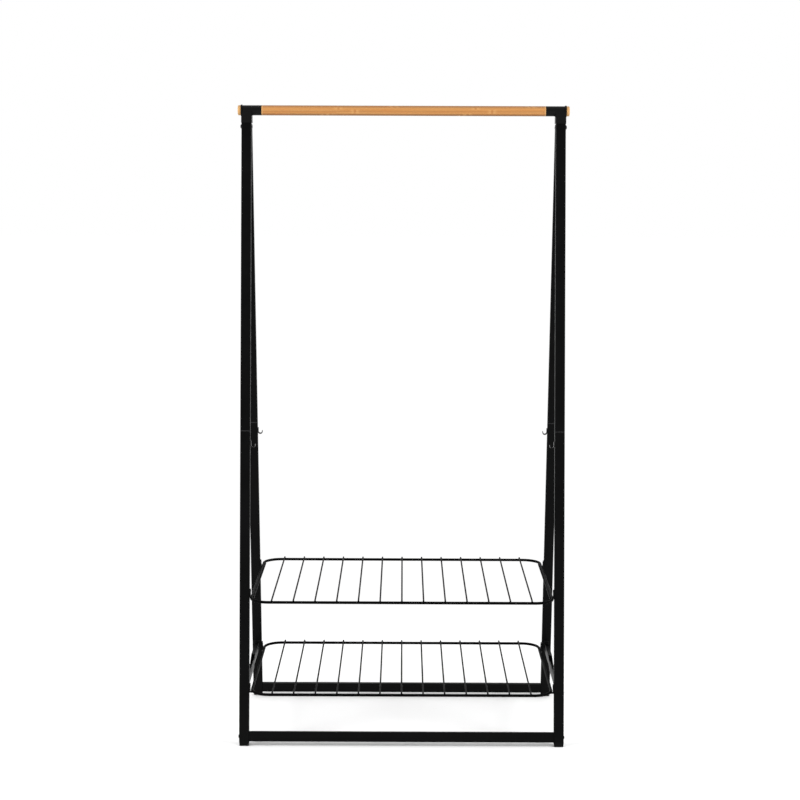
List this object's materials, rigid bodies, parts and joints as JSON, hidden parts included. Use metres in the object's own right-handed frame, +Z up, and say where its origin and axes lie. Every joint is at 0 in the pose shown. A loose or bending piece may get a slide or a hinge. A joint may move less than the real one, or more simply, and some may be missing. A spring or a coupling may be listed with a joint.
{
  "type": "garment rail",
  "caption": "Free-standing folding garment rail: an A-frame of black flat tube under a bamboo rod, with hinged wire shelves, side stays and small side hooks.",
  "frame": {"origin": "on the floor under the middle of the rod, at the centre of the bounding box's base", "axes": "+X along the rod to the right seen from the front, -Y to the front, +Z up"},
  "size_m": [0.993, 0.5854, 1.9],
  "materials": {
    "bamboo": "satin lacquered laminated bamboo",
    "connector_plastic": "fine matte grain",
    "foot_plastic": "matte",
    "clip_plastic": "matte",
    "insert_plastic": "matte",
    "tube_steel": "satin black powder coat",
    "stay_steel": "satin black powder coat",
    "wire_steel": "semi gloss black coating",
    "hook_steel": "satin black coating",
    "pin_steel": "zinc plated",
    "fastener_black": "black oxide"
  },
  "bodies": {
    "front_frame": {"rod": "bamboo", "knob_left": "bamboo", "knob_right": "bamboo", "connector_left": "connector_plastic", "connector_right": "connector_plastic", "leg_bolts": "fastener_black", "pivot_bolts": "fastener_black", "front_leg_upper_left": "tube_steel", "front_leg_upper_right": "tube_steel", "front_leg_lower_left": "tube_steel", "front_leg_lower_right": "tube_steel", "front_leg_joiners": "insert_plastic", "front_rail": "tube_steel", "front_rail_plugs": "insert_plastic", "front_rail_screws": "fastener_black", "front_foot_left": "foot_plastic", "front_foot_right": "foot_plastic", "front_hook_left": "hook_steel", "front_hook_right": "hook_steel", "front_clip_upper_left": "clip_plastic", "front_clip_upper_right": "clip_plastic", "front_clip_lower_left": "clip_plastic", "front_clip_lower_right": "clip_plastic", "front_bracket_left": "stay_steel", "front_bracket_right": "stay_steel", "front_stay_rivets": "pin_steel"},
    "back_frame": {"back_leg_upper_left": "tube_steel", "back_leg_upper_right": "tube_steel", "back_leg_lower_left": "tube_steel", "back_leg_lower_right": "tube_steel", "back_leg_joiners": "insert_plastic", "back_rail": "tube_steel", "back_rail_plugs": "insert_plastic", "back_rail_screws": "fastener_black", "back_foot_left": "foot_plastic", "back_foot_right": "foot_plastic", "back_hook_left": "hook_steel", "back_hook_right": "hook_steel", "back_clip_upper_left": "clip_plastic", "back_clip_upper_right": "clip_plastic", "back_clip_lower_left": "clip_plastic", "back_clip_lower_right": "clip_plastic", "back_bracket_left": "stay_steel", "back_bracket_right": "stay_steel", "back_stay_pins": "pin_steel"},
    "rear_stay_left_body": {"rear_stay_left": "stay_steel"},
    "rear_stay_right_body": {"rear_stay_right": "stay_steel"},
    "front_stay_left_body": {"front_stay_left": "stay_steel"},
    "front_stay_right_body": {"front_stay_right": "stay_steel"},
    "upper_shelf": {"upper_rim": "wire_steel", "upper_wires": "wire_steel", "upper_side_wires": "wire_steel", "upper_pins": "pin_steel"},
    "lower_shelf": {"lower_rim": "wire_steel", "lower_wires": "wire_steel", "lower_pins": "pin_steel"}
  },
  "joints": [
    {"name": "frame_fold", "type": "hinge", "parent": "front_frame", "child": "back_frame", "pos_m": [0, 0.012, 1.835], "axis": [-1, 0, 0], "range_deg": [0, 14.18]},
    {"name": "upper_shelf_lift", "type": "hinge", "parent": "back_frame", "child": "upper_shelf", "pos_m": [0, 0.1967, 0.446], "axis": [-1, 0, 0], "range_deg": [0, 75.5]},
    {"name": "lower_shelf_lift", "type": "hinge", "parent": "back_frame", "child": "lower_shelf", "pos_m": [0, 0.23393, 0.166], "axis": [-1, 0, 0], "range_deg": [0, 75.5]},
    {"name": "rear_stay_left_fold", "type": "hinge", "parent": "back_frame", "child": "rear_stay_left_body", "pos_m": [-0.47, 0.20677, 0.173], "axis": [-1, 0, 0], "range_deg": [0, 82.95]},
    {"name": "front_stay_left_fold", "type": "hinge", "parent": "front_frame", "child": "front_stay_left_body", "pos_m": [-0.47, -0.20677, 0.173], "axis": [1, 0, 0], "range_deg": [0, 82.95]},
    {"name": "rear_stay_right_fold", "type": "hinge", "parent": "back_frame", "child": "rear_stay_right_body", "pos_m": [0.47, 0.20677, 0.173], "axis": [-1, 0, 0], "range_deg": [0, 82.95]},
    {"name": "front_stay_right_fold", "type": "hinge", "parent": "front_frame", "child": "front_stay_right_body", "pos_m": [0.47, -0.20677, 0.173], "axis": [1, 0, 0], "range_deg": [0, 82.95]}
  ],
  "couplings": [
    {"joint": "lower_shelf_lift", "follows": "upper_shelf_lift", "ratio": 1},
    {"joint": "rear_stay_left_fold", "follows": "frame_fold", "ratio": 5.845},
    {"joint": "front_stay_left_fold", "follows": "frame_fold", "ratio": 5.845},
    {"joint": "rear_stay_right_fold", "follows": "frame_fold", "ratio": 5.845},
    {"joint": "front_stay_right_fold", "follows": "frame_fold", "ratio": 5.845}
  ]
}
